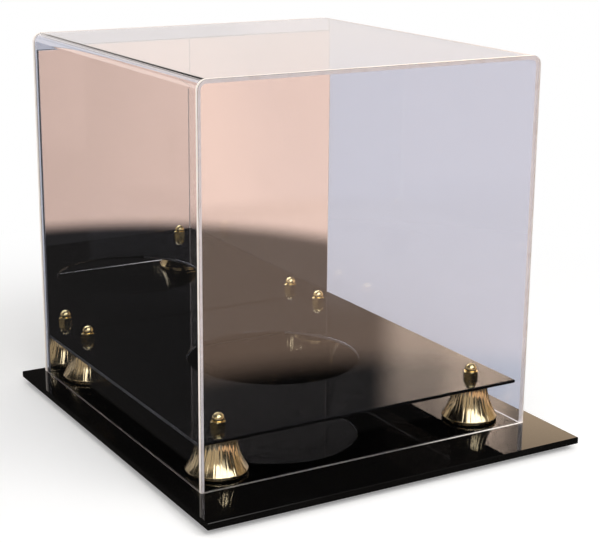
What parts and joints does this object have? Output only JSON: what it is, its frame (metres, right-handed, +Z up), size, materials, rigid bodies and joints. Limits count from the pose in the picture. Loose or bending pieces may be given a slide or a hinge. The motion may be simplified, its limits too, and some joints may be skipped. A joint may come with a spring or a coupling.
{
  "type": "acrylic display case",
  "caption": "Clear acrylic display case: lift-off box cover with a mirrored back wall over a black base and a raised black platform with a round seat hole on fluted gold risers.",
  "frame": {"origin": "middle of the base plate's footprint, on the table under the bumper feet", "axes": "+X to the right for someone facing the clear front wall, +Y from the front towards the mirrored back wall, +Z up"},
  "size_m": [0.301, 0.332, 0.2825],
  "materials": {
    "black_acrylic": "polished",
    "clear_acrylic": "polished",
    "mirror_sheet": "polished",
    "gold_plating": "polished",
    "screw_steel": "satin",
    "bumper_rubber": "matte",
    "foam_tape": "matte"
  },
  "bodies": {
    "stand": {"base_plate": "black_acrylic", "platform": "black_acrylic", "riser_front_left": "gold_plating", "cap_nut_front_left": "gold_plating", "screw_front_left": "screw_steel", "foot_front_left": "bumper_rubber", "riser_front_right": "gold_plating", "cap_nut_front_right": "gold_plating", "screw_front_right": "screw_steel", "foot_front_right": "bumper_rubber", "riser_rear_left": "gold_plating", "cap_nut_rear_left": "gold_plating", "screw_rear_left": "screw_steel", "foot_rear_left": "bumper_rubber", "riser_rear_right": "gold_plating", "cap_nut_rear_right": "gold_plating", "screw_rear_right": "screw_steel", "foot_rear_right": "bumper_rubber"},
    "cover": {"cover_wrap": "clear_acrylic", "cover_front": "clear_acrylic", "cover_back": "clear_acrylic", "mirror_panel": "mirror_sheet", "mirror_tape_left": "foam_tape", "mirror_tape_right": "foam_tape"}
  },
  "joints": [
    {"name": "cover_lift", "type": "slide", "parent": "stand", "child": "cover", "axis": [0, 0, 1], "range_m": [0, 0.3]}
  ]
}
